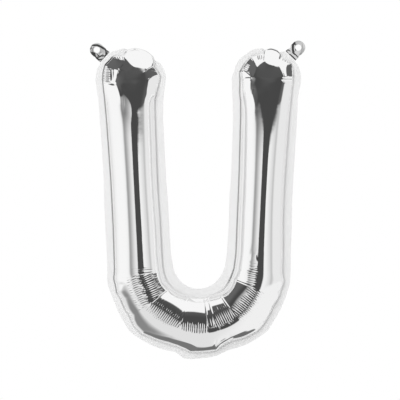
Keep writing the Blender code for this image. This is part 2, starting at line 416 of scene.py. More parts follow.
# How bright the film still is beside the seam, 1 like a mirror and 0 dull: over each cap by angle,
# along the limbs, and at the bend's foot.
CAP_SEALS = {
    # side: (angle, brightness)
    -1: (
        (-62, 1),
        (-38, 1),
        (-33, 0.25),
        (-11, 0.1),
        (-3, 0),
        (54, 0),
        (61.4, 0.3),
        (90, 0.5),
    ),
    1: (
        (-90, 1),
        (-60, 0.7),
        (-50, 0.3),
        (-9, 0.1),
        (-4, 0),
        (56, 0),
        (70, 0.3),
        (93, 0.4),
    ),
}
LIMB_SEALS = {(-1, "outer"): 1.0, (-1, "inner"): 0.45, (1, "outer"): 0.3, (1, "inner"): 1.0}
FOOT_SEALS = {"outer": 0.4, "inner": 0.05}
FOOT_HALF_ANGLE = 70.0
TAUT_WIDTH = 26.0 * MM
BEND_STATIONS = 208
LIMB_STATIONS = 50
LIMB_CROWDING = 0.8
CAP_STATIONS = 240


def read_table(table, column, at, softness):
    """A column read at many places, with its corners rounded over the softness given."""
    rows = np.array(table)
    apart = np.linspace(-1.0, 1.0, 33)
    places = np.asarray(at)[..., None] + apart * softness
    values = np.interp(places, rows[:, 0], rows[:, column])
    return np.average(values, axis=-1, weights=1.02 - np.abs(apart))


def up_limb_share(steps):
    """How far up the limb its stations stand, s - crowding * sin(2 pi s) / 2 pi: closer at both ends."""
    share = steps / LIMB_STATIONS
    return share - np.sin(2 * math.pi * share) * LIMB_CROWDING / (2 * math.pi)


def half_outline(side):
    """One half of the letter as spokes from the centreline: up outside, over the cap, down inside.

    Each key holds one value a spoke. centre and out are (x, z) rows. q_sign is +1 on the inner
    side and -1 on the outer. climb is how far the spoke itself points up the limb.
    """
    lift = up_limb_share(np.arange(1, LIMB_STATIONS + 1))
    turned = np.linspace(0.0, BEND_TURN, BEND_STATIONS + 1)
    up = np.array([math.sin(LIMB_LEAN), math.cos(LIMB_LEAN)])
    bend_out = np.stack([np.sin(turned), -np.cos(turned)], axis=-1)
    limb_out = np.tile(bend_out[-1], (LIMB_STATIONS, 1))
    out = np.concatenate([bend_out, limb_out])
    centre = BEND_CENTRE + BEND_RADIUS * out
    centre[BEND_STATIONS + 1 :] += (LIMB_LENGTH * lift)[:, None] * up
    along = np.concatenate([LIMB_LENGTH + BEND_RADIUS * (BEND_TURN - turned), LIMB_LENGTH * (1 - lift)])
    angle = side * np.degrees(np.concatenate([turned, np.full(LIMB_STATIONS, BEND_TURN)]))
    is_bend = np.arange(len(along)) <= BEND_STATIONS
    up_bend = np.clip(np.abs(angle) / FOOT_HALF_ANGLE, 0.0, 1.0) ** 2
    into_limb = np.clip((np.abs(angle) - 80.0) / 7.0, 0.0, 1.0)
    sides = {}
    for name, bend_table in (("outer", BEND_OUTER), ("inner", BEND_INNER)):
        columns = []
        softness = ((1.2, 6.0), (1.5, 4.0))
        for place, (bend_softness, limb_softness) in enumerate(softness):
            of_bend = read_table(bend_table, place + 1, angle, bend_softness)
            of_limb = read_table(LIMBS, LIMB_COLUMNS[side, name][place], along / MM, limb_softness)
            columns.append(of_bend + (of_limb - of_bend) * into_limb)
        foot = FOOT_SEALS[name]
        sides[name] = (*columns, foot + (LIMB_SEALS[side, name] - foot) * up_bend)

    first = -90.0 - math.degrees(LIMB_LEAN) if side < 0 else 90.0 + math.degrees(LIMB_LEAN)
    fan_angle = first - side * 180.0 * np.arange(1, CAP_STATIONS) / CAP_STATIONS
    fan = np.radians(fan_angle)
    fan_out = np.stack([side * np.sin(fan), np.cos(fan)], axis=-1)
    fan_seam, fan_edge, fan_tuck = (read_table(CAPS[side], column, fan_angle, 1.6) for column in (1, 2, 3))
    fan_seal = read_table(CAP_SEALS[side], 1, fan_angle, 3.0)
    fan_climb = np.sin(np.pi * np.arange(1, CAP_STATIONS) / CAP_STATIONS)
    flat = np.zeros(len(along))
    count = len(fan)

    def whole_run(up, over, down):
        """A column up the outer side, over the cap and down the inner side."""
        return np.concatenate([up, over, down[::-1]])

    outer, inner = sides["outer"], sides["inner"]
    spokes = {
        "centre": whole_run(centre, np.tile(centre[-1], (count, 1)), centre),
        "out": whole_run(out, fan_out, -out),
        "seam": whole_run(outer[0], fan_seam, inner[0]) * MM,
        "edge": whole_run(outer[1], fan_edge, inner[1]) * MM,
        "seal": whole_run(outer[2], fan_seal, inner[2]),
        "along": whole_run(along, np.zeros(count), along),
        "climb": whole_run(flat, fan_climb, flat),
        "tuck": whole_run(flat, fan_tuck, flat),
        "angle": whole_run(angle, np.full(count, angle[-1]), angle),
        "bend": whole_run(is_bend, np.zeros(count, bool), is_bend),
        "q_sign": whole_run(flat - 1, np.zeros(count), flat + 1),
    }
    spokes["centre"] = spokes["centre"] * np.array([side, 1.0])
    spokes["out"] = spokes["out"] * np.array([side, 1.0])
    return spokes


def whole_outline():
    """Both halves as one closed run: up the left half and down the right.

    taut is the seam's distance with its small wanders evened out, as the film feels it further in.
    """
    left, right = half_outline(-1), half_outline(1)
    spokes = {key: np.concatenate([left[key], right[key][-2:0:-1]]) for key in left}
    rim = spokes["centre"] + spokes["out"] * spokes["seam"][:, None]
    steps = np.linalg.norm(rim - np.roll(rim, 1, axis=0), axis=1)
    run = np.cumsum(steps)
    apart = np.abs(run[:, None] - run[None, :])
    apart = np.minimum(apart, run[-1] - apart)
    weights = np.exp(-((apart / TAUT_WIDTH) ** 2)) * (steps + np.roll(steps, -1))[None, :]
    spokes["taut"] = weights @ spokes["seam"] / weights.sum(axis=1)
    return spokes


outline = whole_outline()


# The front panel: 25 micron polyester, metallised to a mirror and blown up tight. It stands off
# the seam plane as a round tube, with taut facets by the tabs and crinkled pleats inside the bend.
FRONT_ROWS = 58
BACK_ROWS = 40
WELD = 0.6 * MM
GAP = 0.3 * MM
WALL = 1.4 * MM
INNER_ROWS = 7
MERGE_DISTANCE = 2e-7
INNER_SHARE = 0.80
# Pleats cross the bend's inside along these directions, and the tube runs straight between them.
PLEATS = (-81.5, -51.5, -17, 9.6, 16.2, 36.4, 68.3)
# The photograph's scale, and the pixel at which the letter's origin lies.
PIXEL = 1.138 * MM
ORIGIN_PIXEL = (198.4, 48.7)
# Folds: width and height in millimetres, and a path of the photograph's pixels.
FOLDS = (
    # left cap
    (0.9, -0.50, ((102, 83.6), (109, 83.2), (116, 84.6))),
    (1.2, -0.30, ((111.8, 70), (112, 83))),
    (0.9, 0.30, ((148, 98.5), (152, 97.5), (158, 98.5))),
    # right cap
    (0.8, 0.25, ((244, 70.5), (249, 73), (252, 78))),
    (0.9, -0.50, ((238, 93.6), (246, 93.4), (253, 94.5))),
    (0.9, -0.50, ((283, 78.7), (289, 78.8), (295, 79.5))),
    (0.9, -0.30, ((284, 82), (290, 81.4), (297, 82))),
    # the pucker at the bend's right foot, and the crease up from its pinch
    (0.8, -0.40, ((258.5, 331), (258.4, 327.4), (262, 322.6), (267, 320.2), (271.6, 320.4))),
    (0.8, -0.40, ((258.5, 331), (263, 330.6), (268.4, 327), (271.8, 322.8), (271.6, 320.4))),
    (1.4, 0.45, ((213.6, 351.5), (221, 343), (232, 336), (246, 329))),
    (1.2, -0.45, ((214.4, 351.5), (214.8, 346), (216, 340))),
)
# Puckers: number of waves, half width and height in millimetres, and a path across them.
PUCKERS = (
    (7, 3.8, 0.32, ((106.9, 68.5), (106.7, 83.4))),
    (5, 5.6, 0.26, ((150.5, 92.5), (149.5, 104))),
    (4, 3.4, 0.20, ((247.2, 76.2), (247.8, 86))),
    (2, 4.6, 0.26, ((246.5, 92), (247, 97.6))),
    (4, 1.5, 0.10, ((114.5, 58.8), (122, 57.2))),
    (4, 2.4, 0.30, ((280, 57.5), (290, 62.3))),
    (4, 2.8, 0.26, ((256.5, 57.5), (263.5, 57))),
    (4, 2.8, 0.20, ((248.3, 64.5), (244.5, 72))),
    (9, 4.8, 0.20, ((252.6, 249), (253.4, 269))),
)
# The foot of the bend has a taut facet: the pixel where it leaves the round film, its reach in
# pixels, and the azimuth and height of what it mirrors.
FOOT_SPOT = (180.0, 341.0)
FOOT_REACH = 40.0
FOOT_MIRRORS = (-126.0, -0.952)
FACET_EDGE = 0.12
# Taut patches: their grid's step in pixels, how hard the round film and the film at the seam hold
# their own slope against the facets' 1, and the shares of the way to the seam where that changes.
PATCH_STEP = 0.25
PATCH_STEEPEST = 4.0
SOLVER_STEPS = 70
ROUND_WEIGHT = 0.12
RIM_WEIGHT = 0.002
RIM_START = 0.86
TAUT_REACH = 0.955
HELD_FROM = 0.985
# Their facets, later ones over earlier: the azimuth and height of what each mirrors, the share of
# the film's own curve that it keeps, half its width in pixels if it is a line, and its corners.
LEFT_CAP_FACETS = (
    # azimuth, height, curve kept, half width, corners
    # by the tab, and the crumpled strip at its top
    (-65, 0.62, 0.15, 0, ((106, 65.2), (113.6, 56), (122, 56), (124, 60.8), (122.6, 64.9),
        (117.4, 69.5), (110, 69))),
    (-20, 0.85, 0.15, 0, ((115, 58.5), (121.9, 57.1), (122.6, 58.6), (115.6, 60.2))),
    # the bright oval, and below it
    (20, 0.80, 0.60, 0, ((126, 57), (130.4, 63.4), (135.4, 66.2), (141, 67.3), (147, 66.8), (150, 58),
        (146, 52), (132, 52))),
    (-35, 0.62, 0.15, 0, ((124.9, 58.8), (129.7, 64.4), (134.8, 67.2), (128, 71), (121, 70),
        (123, 65.4), (125.2, 61.4))),
    (5, 0.58, 0.30, 0, ((134.8, 67.2), (140.9, 68.3), (146.5, 68.2), (147, 70.5), (143, 74),
        (134, 73), (128, 71))),
    (-30, 0.84, 0.00, 0.4, ((122.6, 56), (124.4, 60.8), (123.2, 64.2))),
    (-40, 0.58, 0.10, 0, ((119.8, 71.4), (123, 71), (124, 84), (114.9, 84), (116.2, 79.5),
        (117.8, 75.5))),
    # the side below the tab
    (-35, -0.06, 0.00, 0, ((109.8, 69.6), (114.2, 69.8), (114.2, 83), (109.8, 83))),
    (-75, 0.16, 0.10, 0, ((114.3, 69.8), (119.2, 70.2), (117.6, 73.6), (115.8, 78.7), (114.4, 82.6),
        (114.3, 82.6))),
    (-90, 0.08, 0.40, 0, ((104.5, 68.5), (109.8, 69.4), (109.8, 83), (103.8, 83))),
    (-80, -0.05, 0.00, 0.4, ((103.6, 83.2), (114.5, 83.4))),
    (-78, 0.55, 0.00, 0.55, ((103.6, 84.3), (116.4, 84.6))),
    (-85, 0.10, 0.40, 0, ((104, 85.4), (115.6, 85.4), (118.6, 90), (121, 98), (104, 98))),
    # between the limb's first two bands of light
    (-40, 0.34, 0.20, 0, ((116.4, 84.4), (121, 84.4), (122, 88), (123.4, 96), (121.8, 96), (119.3, 90))),
    (-10, 0.31, 1.00, 0, ((121, 84), (122.9, 88), (126.4, 94), (130, 100), (132, 105), (133, 111),
        (136, 111), (136, 84))),
    (-30, 0.08, 1.00, 0, ((123, 89.5), (126, 94.6), (129.6, 100.6), (131.6, 106), (132.2, 112),
        (124.6, 112), (124, 104))),
    # the inner shoulder
    (57, 0.28, 0.10, 0, ((147.4, 70.2), (153.5, 66.9), (158.8, 74.8), (151.5, 77.4), (148.5, 79),
        (146, 81), (146, 73))),
    (54, 0.06, 0.00, 0, ((150.6, 71.4), (153.7, 68.8), (156.6, 72.6))),
    (50, 0.62, 0.30, 0, ((147, 66.8), (150, 58), (154, 58), (156.5, 63), (153.4, 66.2), (147.6, 69.2))),
    (80, 0.04, 0.10, 0, ((148.4, 80), (151.5, 78), (158.4, 75.8), (158.6, 97.5), (148, 97.5),
        (147.6, 90))),
    (40, 0.26, 0.80, 0, ((137, 84), (147, 82), (146.8, 90), (147, 97.6), (145.6, 100), (142.4, 104),
        (139.6, 108), (137, 110))),
)
RIGHT_CAP_FACETS = (
    # the crumpled triangle, the bright oval, and below them
    (-15, 0.80, 0.20, 0, ((250.4, 56.9), (263.3, 54.2), (263.4, 60.8), (256.9, 66.4))),
    (20, 0.80, 0.60, 0, ((264, 52), (263.8, 60.4), (266, 63.5), (269, 65.2), (272.4, 65.9),
        (276, 65.3), (278.7, 63.4), (280, 57), (276, 52))),
    (-6, 0.50, 0.20, 0, ((256.9, 67.2), (263.6, 61.8), (266, 64.6), (269, 66.4), (272.4, 67.1),
        (276, 66.6), (278.8, 65), (280.6, 69), (282.6, 73.6), (283.4, 77), (270, 79), (257, 77))),
    # the inner shoulder, its bright fold, the slab below it and the shade beside that
    (-68, 0.50, 0.15, 0, ((249.6, 58), (256.9, 67.2), (254.7, 73.6), (252.5, 78), (250.5, 74.5),
        (242.7, 69.2), (245.5, 63.5))),
    (-85, 0.12, 0.20, 0, ((240.9, 72), (245, 71.8), (249.6, 76), (250, 93), (242.5, 93))),
    (-34, 0.06, 0.00, 0, ((250, 77), (253.4, 80), (254, 93), (250, 93))),
    (-65, 0.20, 0.00, 0.40, ((244.5, 70.8), (248, 72.4), (250.3, 75))),
    # by the tab: the pale slope, the dark facet, and the creases below it
    (50, 0.70, 0.20, 0, ((279.8, 63.4), (281.5, 57.5), (286, 58.5), (291, 62.5), (288, 64.6),
        (285.4, 67), (284.9, 70.5), (286, 74.6), (287.4, 77), (284.6, 77), (282.8, 71))),
    (80, 0.54, 0.10, 0, ((292, 63.4), (288, 65.3), (286.2, 67.8), (286, 71), (287.4, 74.6),
        (289.2, 77.2), (293.6, 77.2), (293.6, 70), (293, 66))),
    (80, 0.00, 0.00, 0.35, ((284.5, 78), (293.5, 78))),
    (78, 0.54, 0.00, 0.45, ((283.8, 79.5), (293.5, 79.2))),
    (85, 0.06, 0.90, 0, ((283.4, 82.5), (292, 82.5), (292, 104), (276.6, 104), (277.5, 100), (280, 91))),
    (22, 0.30, 0.80, 0, ((276, 82), (282, 81.6), (279.3, 91), (276.8, 100), (276, 103), (271, 103),
        (270, 84))),
    # the limb's inner bands of light
    (-85, 0.04, 0.60, 0, ((242, 95.4), (252.6, 95.4), (253.6, 104), (242, 104))),
    (-40, 0.30, 0.20, 0, ((253.2, 94), (256.5, 94), (257, 98), (257.2, 105), (254.6, 105))),
    (-5, 0.30, 1.00, 0, ((257, 94), (266, 94), (266, 105), (260.6, 104))),
)
TAUT_PATCHES = (
    # left, top, right and bottom in pixels, side (-1 left, 1 right), facets
    ((96, 44, 168, 204), -1, LEFT_CAP_FACETS),
    ((232, 42, 306, 204), 1, RIGHT_CAP_FACETS),
)
PLEAT_HEIGHT = 0.40
PLEAT_WIDTH = 0.70
# Crinkles fill part of each straight run: from and to these angles, from and to these shares of
# the way to the inner seam (negative is outside the centreline), and height in millimetres.
CRINKLE_PITCH = 2.4
CRINKLES = (
    (-88, -81.5, -0.25, 0.70, 0.12),
    (-81.5, -51.5, -0.46, -0.06, 0.42),
    (-81.5, -51.5, 0.00, 0.62, 0.16),
    (-51.5, -17, -0.36, 0.34, 0.20),
    (-17, 9.6, -0.28, 0.06, 0.17),
    (9.6, 16.2, -0.10, 0.40, 0.12),
    (16.2, 36.4, -0.20, 0.50, 0.18),
    (36.4, 68.3, -0.36, 0.20, 0.24),
    (68.3, 88, 0.02, 0.42, 0.20),
)


def smooth(value, low, high):
    """Rises smoothly from 0 at low to 1 at high."""
    share = np.clip((value - low) / (high - low), 0.0, 1.0)
    return share * share * (3 - 2 * share)


def pleat_span(angle):
    """The middle and the half width of the straight run that each angle lies in, in degrees."""
    bounds = np.array((-112.0, *PLEATS, 100.0))
    index = np.clip(np.searchsorted(bounds, angle, side="right") - 1, 0, len(bounds) - 2)
    return (bounds[index] + bounds[index + 1]) / 2, (bounds[index + 1] - bounds[index]) / 2


def film_rise(spokes, away, left):
    """How far the round film stands off the seam plane, at a distance out along each spoke.

    With t the share of the way from the centreline to the seam, it is depth(along) * sqrt(1 - t^2),
    and inside the bend t is measured across straight runs. Gives the rise, t, the depth, and q,
    which is t on the inner side and -t on the outer.
    """
    seam, taut = spokes["seam"], spokes["taut"]
    t = away / (taut + (seam - taut) * smooth(away / seam, 0.5, 1.0))
    down = (spokes["along"] - spokes["climb"] * away) / MM
    depth = np.where(left, read_table(DEPTHS, 1, down, 9.0), read_table(DEPTHS, 2, down, 9.0)) * MM
    q = t * spokes["q_sign"]
    middle, half_span = pleat_span(spokes["angle"])
    off_middle = np.radians(spokes["angle"] - middle)
    shift = (np.sqrt(np.cos(np.radians(half_span))) - np.cos(off_middle)) * BEND_RADIUS / seam
    shift = shift * spokes["bend"] * smooth(q, -0.45, 0.05) * (1 - smooth(q, 0.55, 1.0))
    shift = shift * (1 - smooth(np.abs(spokes["angle"]), 80.0, 87.0))
    bulge = np.where(spokes["bend"] > 0, np.abs(q + shift), t)
    return depth * np.sqrt(np.clip(1 - bulge * bulge, 0.0, 1.0)), t, depth, q


def film_surface(side, rows):
    """Points of the outer film over the whole outline, (spokes, rows, 3), their unit normals, t and q."""
    spokes = {key: column[:, None] for key, column in outline.items() if column.ndim == 1}
    seam = spokes["seam"]
    away = np.sin(np.linspace(0.0, math.pi / 2, rows + 1))[None, :] * seam
    rise, t, depth, q = film_rise(spokes, away, outline["centre"][:, None, 0] < 0)
    flat = outline["centre"][:, None] + away[..., None] * outline["out"][:, None]
    level = np.sqrt(np.clip(1 - t * t, 0.0, 1.0))
    lean = t / seam
    out = outline["out"][:, None]
    normal = np.stack([lean * out[..., 0], side * level / depth, lean * out[..., 1]], axis=-1)
    normal /= np.linalg.norm(normal, axis=-1, keepdims=True)
    points = np.stack([flat[..., 0], side * (WELD / 2 + GAP + rise), flat[..., 1]], axis=-1)
    return points, normal, t, q


def find_spokes(side, spots):
    """The outline's columns at (x, z) spots of one half of the letter, and the distances out.

    Over the cap the spokes fan out from its centre, beside the limb they cross it squarely, and
    round the bend they fan out from the bend's centre.
    """
    up = np.array([math.sin(LIMB_LEAN), math.cos(LIMB_LEAN)])
    outward = np.array([up[1], -up[0]])
    from_bend = spots * np.array([side, 1.0]) - BEND_CENTRE
    from_cap = from_bend - BEND_RADIUS * outward - LIMB_LENGTH * up
    climb = from_bend @ up
    steps = np.arange(LIMB_STATIONS + 1)
    up_limb = BEND_STATIONS + np.interp(climb / LIMB_LENGTH, up_limb_share(steps), steps)
    round_bend = np.arctan2(from_bend[..., 0], -from_bend[..., 1]) / BEND_TURN * BEND_STATIONS
    off_limb = from_bend @ outward - BEND_RADIUS
    off_bend = np.linalg.norm(from_bend, axis=-1) - BEND_RADIUS
    place = np.where(climb > 0, up_limb, round_bend)
    away = np.where(climb > 0, off_limb, off_bend)
    last = 2 * (BEND_STATIONS + LIMB_STATIONS) + CAP_STATIONS
    place = np.where(away < 0, last - place, place)
    turn = math.pi / 2 + LIMB_LEAN - np.arctan2(from_cap[..., 0], from_cap[..., 1])
    over = from_cap @ up > 0
    place = np.where(over, BEND_STATIONS + LIMB_STATIONS + CAP_STATIONS * turn / math.pi, place)
    away = np.where(over, np.linalg.norm(from_cap, axis=-1), np.abs(away))
    count = len(outline["seam"])
    place = (-side * place) % count
    spokes = {
        key: np.interp(place, np.arange(count + 1), np.append(column, column[0]).astype(float))
        for key, column in outline.items()
        if column.ndim == 1
    }
    return spokes, away


def plan(px, py):
    """Where a pixel of the photograph lies in the letter's own plane, as (x, z) in metres."""
    x = (np.asarray(px) - ORIGIN_PIXEL[0]) * PIXEL
    return np.stack([x, (ORIGIN_PIXEL[1] - np.asarray(py)) * PIXEL], axis=-1)


def pixel_at(spots):
    """The pixels, px and py, at which (x, z) spots are seen."""
    return ORIGIN_PIXEL[0] + spots[..., 0] / PIXEL, ORIGIN_PIXEL[1] - spots[..., 1] / PIXEL


def path_distance(spots, path):
    """How far each (x, z) spot lies from a path of pixels, and which share of the path is nearest."""
    corners = plan(*np.array(path, float).T)
    nearest = np.full(spots.shape[:-1], np.inf)
    share = np.zeros(spots.shape[:-1])
    for index, (start, end) in enumerate(zip(corners[:-1], corners[1:])):
        along = end - start
        way = np.clip(((spots - start) @ along) / (along @ along), 0.0, 1.0)
        gap = np.linalg.norm(spots - start - way[..., None] * along, axis=-1)
        closer = gap < nearest
        nearest = np.where(closer, gap, nearest)
        share = np.where(closer, (index + way) / (len(corners) - 1), share)
    return nearest, share


def fold_lift(spots):
    """How far the film stands out along its folds, in metres: rounded ridges, or grooves if negative."""
    lift = np.zeros(spots.shape[:-1])
    for width, height, path in FOLDS:
        gap, share = path_distance(spots, path)
        lift += height * MM * np.exp(-((gap / (width * MM)) ** 2)) * np.sin(math.pi * (0.12 + 0.76 * share))
    return lift


def patch_lift(spots):
    """How far the film stands out in its puckered patches, in metres: short waves across each path."""
    lift = np.zeros(spots.shape[:-1])
    for count, half_width, height, path in PUCKERS:
        gap, share = path_distance(spots, path)
        ends = smooth(share, 0.0, 0.06) * (1 - smooth(share, 0.94, 1.0))
        wave = np.cos(2 * math.pi * (count * share + 0.10 * np.sin(17 * share)))
        lift += height * MM * wave * ends * (1 - smooth(gap, 0.55 * half_width * MM, half_width * MM))
    return lift


def mirror_slope(azimuth, height):
    """The film's slopes to the right and downwards where it mirrors the room at a place.

    With c = sqrt(1 - height^2), it falls by c sin a / (1 + c cos a) to the right and rises by
    height / (1 + c cos a) downwards.
    """
    sine = math.sqrt(1 - height**2)
    facing = 1 + sine * math.cos(math.radians(azimuth))
    return np.array([-sine * math.sin(math.radians(azimuth)), height]) / facing


def foot_cut(spots, rise):
    """The film's rise with the taut facet at the foot of the bend cut in.

    The facet is a plane through a spot of the round film. Its corner is rounded over FACET_EDGE,
    and it fades out towards its reach.
    """
    at = plan(*FOOT_SPOT)
    level = rise.reshape(-1)[np.linalg.norm(spots.reshape(-1, 2) - at, axis=-1).argmin()]
    plane = level + (spots - at) @ (mirror_slope(*FOOT_MIRRORS) * (1, -1))
    over = (rise - plane) / (FACET_EDGE * MM)
    cut = FACET_EDGE * MM * np.logaddexp(0.0, np.clip(over, -40, 40))
    away = np.linalg.norm(spots - at, axis=-1) / PIXEL
    return rise - cut * (1 - smooth(away, 0.8 * FOOT_REACH, FOOT_REACH))


def covered(px, py, half_width, corners):
    """Which pixels lie in a polygon, or within half a width of a path if one is given."""
    places = np.array(corners, float)
    if half_width:
        gap, _ = path_distance(plan(px, py), corners)
        return gap < half_width * PIXEL
    inside = np.zeros(px.shape, bool)
    for (x0, y0), (x1, y1) in zip(places, np.roll(places, -1, axis=0)):
        if y0 != y1:
            crosses = (py < y0) != (py < y1)
            inside ^= crosses & (px < x0 + (py - y0) * (x1 - x0) / (y1 - y0))
    return inside


def relaxed(want, weight, free, spacing):
    """Heights on a grid whose slopes come nearest to the ones wanted, each by its weight.

    The weighted least squares are solved by conjugate gradients, first on every second row and
    column. Heights stay 0 where free is 0.
    """
    height = np.zeros(free.shape)
    if min(free.shape) > 16:
        coarse = relaxed(want[::2, ::2], weight[::2, ::2], free[::2, ::2], 2 * spacing)
        places = np.meshgrid(*(np.arange(n) / 2 for n in free.shape), indexing="ij")
        height = read_grid(coarse, *places) * free
    pull_x = (weight[:, 1:] + weight[:, :-1]) / 2
    pull_y = (weight[1:] + weight[:-1]) / 2

    def gather(along_x, along_y):
        """What meets at each point from the grid's edges."""
        total = np.zeros(free.shape)
        total[:, 1:] += along_x
        total[:, :-1] -= along_x
        total[1:] += along_y
        total[:-1] -= along_y
        return total * free

    def tension(heights):
        """How hard the film pulls on each point."""
        return gather(pull_x * np.diff(heights, axis=1), pull_y * np.diff(heights, axis=0)) + 1e-7 * heights

    wanted_x = pull_x * (want[:, 1:, 0] + want[:, :-1, 0]) / 2 * spacing
    wanted_y = pull_y * (want[1:, :, 1] + want[:-1, :, 1]) / 2 * spacing
    left_over = gather(wanted_x, wanted_y) - tension(height)
    way = left_over.copy()
    size = (left_over**2).sum()
    for _ in range(SOLVER_STEPS):
        moved = tension(way)
        share = size / max((way * moved).sum(), 1e-30)
        height += share * way
        left_over -= share * moved
        new_size = (left_over**2).sum()
        way = left_over + way * (new_size / max(size, 1e-30))
        size = new_size
    return height


def read_grid(grid, row, column):
    """A grid's values between its points, by straight interpolation both ways."""
    row = np.clip(row, 0, grid.shape[0] - 1.001)
    column = np.clip(column, 0, grid.shape[1] - 1.001)
    i, j = row.astype(int), column.astype(int)
    down, right = row - i, column - j
    upper = grid[i, j] * (1 - right) + grid[i, j + 1] * right
    lower = grid[i + 1, j] * (1 - right) + grid[i + 1, j + 1] * right
    return upper * (1 - down) + lower * down


def facet_lift(spots):
    """How far the film is pulled out of its round where its taut facets lie, in metres."""
    lift = np.zeros(spots.shape[:-1])
    for (left, top, right, bottom), side, facets in TAUT_PATCHES:
        px, py = np.meshgrid(np.arange(left, right, PATCH_STEP), np.arange(top, bottom, PATCH_STEP))
        spokes, away = find_spokes(side, plan(px, py))
        rise = film_rise(spokes, away, side < 0)[0]
        share = away / spokes["seam"]
        slope = np.stack(np.gradient(rise / PIXEL, PATCH_STEP)[::-1], axis=-1)
        slope = np.clip(slope, -PATCH_STEEPEST, PATCH_STEEPEST)
        want = np.zeros(slope.shape)
        weight = ROUND_WEIGHT * (1 - smooth(share, RIM_START, TAUT_REACH)) + RIM_WEIGHT
        for azimuth, height, curve, half_width, corners in facets:
            mask = covered(px, py, half_width, corners) & (share < TAUT_REACH)
            flat = mirror_slope(azimuth, height) - slope[mask]
            want[mask] = flat + curve * (slope[mask] - slope[mask].mean(axis=0))
            weight[mask] = 1.0
        free = (share < HELD_FROM).astype(float)
        free[:, (0, -1)] = free[(0, -1), :] = 0.0
        heights = relaxed(want, weight, free, PATCH_STEP) * PIXEL
        spot_x, spot_y = pixel_at(spots)
        row, column = (spot_y - top) / PATCH_STEP, (spot_x - left) / PATCH_STEP
        here = (row > 0) & (row < px.shape[0] - 1) & (column > 0) & (column < px.shape[1] - 1)
        lift[here] += read_grid(heights, row[here], column[here])
    return lift


def crinkle_lift(points, q):
    """How far the film stands out at its crinkles, in metres.

    Each straight run has ridges (1/2 + 1/2 cos)^1.5 across it, whose pitch and ends wander a little.
    """
    x, z = points[..., 0] - BEND_CENTRE[0], points[..., 2] - BEND_CENTRE[1]
    angle = outline["angle"][:, None]
    lift = np.zeros(q.shape)
    for start, end, outer, inner, height in CRINKLES:
        tilt = math.radians((start + end) / 2)
        across = (x * math.cos(tilt) + z * math.sin(tilt)) / MM
        wobble = 0.5 * np.sin(across * 0.61 + start) + 0.3 * np.sin(9 * q + across * 1.3)
        phase = across * (2 * math.pi / CRINKLE_PITCH) + wobble
        wave = (0.5 + 0.5 * np.cos(phase)) ** 1.5
        ragged = 0.05 * np.sin(across * 2.1 + start) + 0.04 * np.sin(across * 3.7)
        where = smooth(q + ragged, outer - 0.04, outer + 0.06)
        where = where * (1 - smooth(q + ragged, inner - 0.10, inner + 0.04))
        where = where * smooth(angle, start, start + 1.5) * (1 - smooth(angle, end - 1.5, end))
        lift += height * MM * wave * where
    return lift * outline["bend"][:, None]


def pleat_lift(t, q):
    """How far the film stands out along the pleats, in metres: a narrow ridge on each."""
    angle = outline["angle"][:, None]
    radius = (BEND_RADIUS - q * outline["seam"][:, None]) / MM
    lift = np.zeros(np.broadcast(angle, q).shape)
    for pleat in PLEATS:
        away = np.radians(angle - pleat) * radius
        lift += np.exp(-((away / PLEAT_WIDTH) ** 2))
    where = outline["bend"][:, None] * smooth(q, -0.15, 0.05) * (1 - smooth(q, 0.80, 1.0))
    return PLEAT_HEIGHT * MM * lift * where


def grid_faces(around, across, closed_across=False, start=0, closed_around=True):
    """Quads of a grid that closes round its first index unless told, and round its second if asked."""
    i = np.arange(around if closed_around else around - 1)[:, None]
    j = np.arange(across if closed_across else across - 1)[None, :]
    ahead, beside = (i + 1) % around, (j + 1) % across
    corners = (i * across + j, ahead * across + j, ahead * across + beside, i * across + beside)
    return np.stack(corners, axis=-1).reshape(-1, 4) + start


def make_piece(name, points, faces, material, sharp=None, polish=0.0):
    """A smooth mesh object with its doubles merged and its faces turned outwards.

    polish says how bright the film still is, vertex by vertex, for the sealed film's finish.
    """
    mesh = bpy.data.meshes.new(name)
    mesh.from_pydata(points.tolist(), [], faces.tolist())
    shine = np.broadcast_to(np.asarray(polish, np.float32), len(points))
    mesh.attributes.new("polish", "FLOAT", "POINT").data.foreach_set("value", np.ascontiguousarray(shine))
    shell = bmesh.new()
    shell.from_mesh(mesh)
    bmesh.ops.remove_doubles(shell, verts=shell.verts, dist=MERGE_DISTANCE)
    bmesh.ops.recalc_face_normals(shell, faces=shell.faces)
    shell.to_mesh(mesh)
    shell.free()
    mesh.shade_smooth()
    if sharp is not None:
        mesh.set_sharp_from_angle(angle=math.radians(sharp))
    mesh.materials.append(material)
    made = bpy.data.objects.new(name, mesh)
    bpy.context.scene.collection.objects.link(made)
    return made


